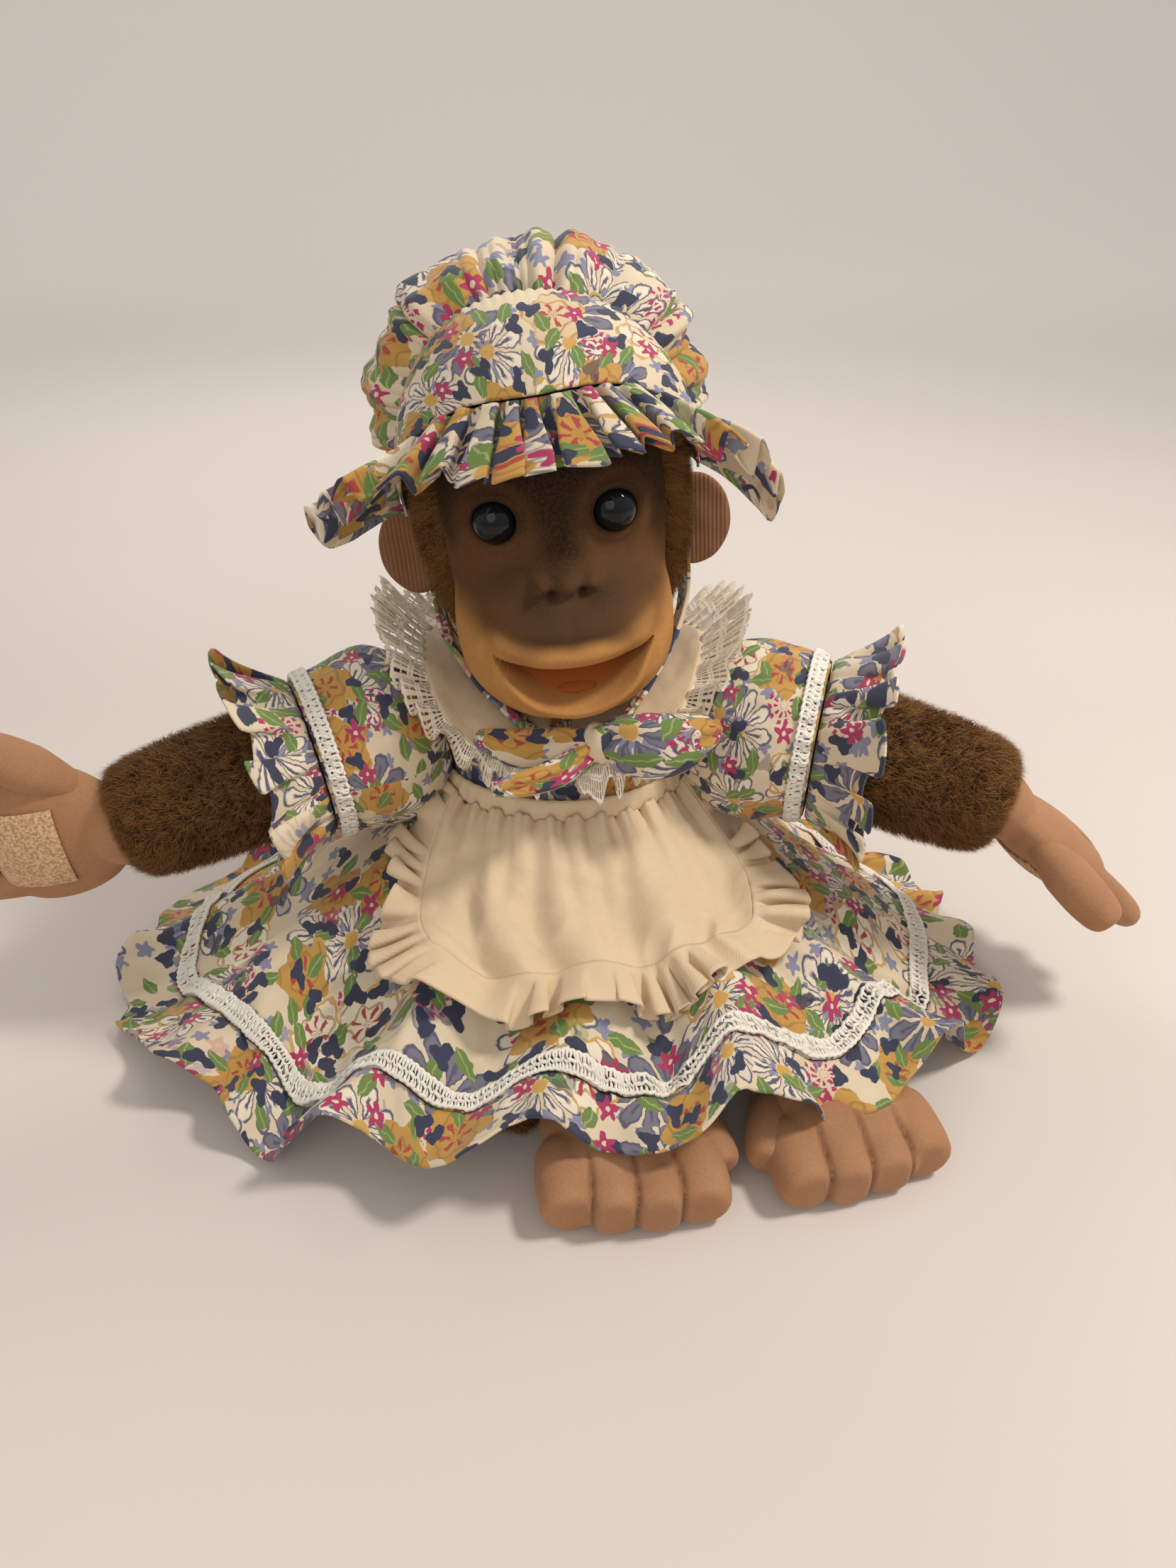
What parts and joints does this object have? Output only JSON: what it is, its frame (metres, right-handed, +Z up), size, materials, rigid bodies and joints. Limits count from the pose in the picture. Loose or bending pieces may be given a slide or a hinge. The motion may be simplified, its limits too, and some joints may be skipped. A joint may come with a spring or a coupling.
{
  "type": "monkey hand puppet",
  "caption": "Seated plush monkey hand puppet with a vinyl face and open mouth, in a gathered dress with puff sleeves, an apron, a lace collar and a tied bonnet.",
  "frame": {"origin": "middle of the flat seat that the puppet sits on", "axes": "+Z up from the seat, -Y the way the puppet faces, +X to the right of someone who looks at its face"},
  "size_m": [0.4692, 0.258, 0.2783],
  "materials": {
    "plush": "brown long-pile plush",
    "velour": "tan short-pile velour",
    "skin": "soft vinyl with golden-tan flock",
    "print": "cotton with a small floral print",
    "cotton": "warm cream cotton",
    "lace": "cream-white lace",
    "gimp": "glossy white gimp braid",
    "eye": "black glossy toy eye",
    "lining": "dark lining cloth",
    "hook": "tan hook-and-loop tape"
  },
  "bodies": {
    "root": {"torso": "plush", "glove_lining": "lining", "seat_stuffing": "lining", "dress_bodice": "print", "dress_skirt": "print", "hem_flounce": "print", "skirt_braid": "gimp", "placket_tab": "hook", "apron_waistband": "cotton", "apron_bow": "cotton", "apron_panel": "cotton", "apron_ruffle": "cotton", "collar_left": "cotton", "collar_right": "cotton", "collar_lace_left": "lace", "collar_lace_right": "lace"},
    "neck": {"neck_tube": "plush"},
    "head": {"face_mask": "skin", "eye_left": "eye", "eye_right": "eye", "head_plush": "plush", "ear_left": "velour", "ear_right": "velour", "finger_pocket": "lining", "bonnet_band": "print", "bonnet_brim": "print", "bonnet_crown": "print", "bonnet_strap_left": "print", "bonnet_strap_right": "print", "chin_bow": "print"},
    "jaw": {"lower_jaw": "skin", "thumb_pocket": "lining"},
    "upper_arm_left": {"upper_arm_left": "plush", "sleeve_left": "print", "sleeve_ruffle_left": "print", "sleeve_braid_left": "gimp"},
    "forearm_left": {"forearm_left": "plush"},
    "hand_left": {"hand_left": "velour", "thumb_left": "velour", "palm_patch_left": "hook"},
    "upper_arm_right": {"upper_arm_right": "plush", "sleeve_right": "print", "sleeve_ruffle_right": "print", "sleeve_braid_right": "gimp"},
    "forearm_right": {"forearm_right": "plush"},
    "hand_right": {"hand_right": "velour", "thumb_right": "velour", "palm_patch_right": "hook"},
    "leg_left": {"leg_left": "plush"},
    "foot_left": {"foot_left": "velour", "big_toe_left": "velour"},
    "leg_right": {"leg_right": "plush"},
    "foot_right": {"foot_right": "velour", "big_toe_right": "velour"}
  },
  "joints": [
    {"name": "neck_turn", "type": "hinge", "parent": "root", "child": "neck", "pos_m": [0.003, 0, 0.148], "axis": [0, 0, 1], "range_deg": [-20, 20]},
    {"name": "head_nod", "type": "hinge", "parent": "neck", "child": "head", "pos_m": [0.003, 0, 0.148], "axis": [1, 0, 0], "range_deg": [-20, 2]},
    {"name": "jaw_open", "type": "hinge", "parent": "head", "child": "jaw", "pos_m": [0.00324, -0.01402, 0.15647], "axis": [0.9938, 0.0695, 0.0872], "range_deg": [-8, 5], "deforming": ["bonnet_strap_left", "bonnet_strap_right", "chin_bow"]},
    {"name": "shoulder_left", "type": "hinge", "parent": "root", "child": "upper_arm_left", "pos_m": [-0.046, -0.008, 0.11], "axis": [0, 1, 0], "range_deg": [-10, 30], "deforming": ["sleeve_left"]},
    {"name": "elbow_left", "type": "hinge", "parent": "upper_arm_left", "child": "forearm_left", "pos_m": [-0.09738, -0.03196, 0.10404], "axis": [0, 0, 1], "range_deg": [-10, 25]},
    {"name": "wrist_left", "type": "hinge", "parent": "forearm_left", "child": "hand_left", "pos_m": [-0.15804, -0.05404, 0.09032], "axis": [-0.0518, -0.0073, 0.9986], "range_deg": [-20, 30]},
    {"name": "shoulder_right", "type": "hinge", "parent": "root", "child": "upper_arm_right", "pos_m": [0.05, -0.008, 0.11], "axis": [0, -1, 0], "range_deg": [-10, 30], "deforming": ["sleeve_right"]},
    {"name": "elbow_right", "type": "hinge", "parent": "upper_arm_right", "child": "forearm_right", "pos_m": [0.10448, -0.02465, 0.10801], "axis": [0, 0, -1], "range_deg": [-10, 25]},
    {"name": "wrist_right", "type": "hinge", "parent": "forearm_right", "child": "hand_right", "pos_m": [0.16662, -0.04014, 0.09204], "axis": [-0.1453, 0.9846, -0.0976], "range_deg": [-20, 25]},
    {"name": "hip_left", "type": "hinge", "parent": "root", "child": "leg_left", "pos_m": [-0.034, -0.038, 0.018], "axis": [0, 0, -1], "range_deg": [0, 12]},
    {"name": "ankle_left", "type": "hinge", "parent": "leg_left", "child": "foot_left", "pos_m": [-0.008, -0.126, 0.0155], "axis": [-1, 0, 0], "range_deg": [-5, 10]},
    {"name": "hip_right", "type": "hinge", "parent": "root", "child": "leg_right", "pos_m": [0.038, -0.038, 0.018], "axis": [0, 0, 1], "range_deg": [0, 5]},
    {"name": "ankle_right", "type": "hinge", "parent": "leg_right", "child": "foot_right", "pos_m": [0.105, -0.088, 0.0155], "axis": [-1, 0, 0], "range_deg": [-5, 3]}
  ]
}
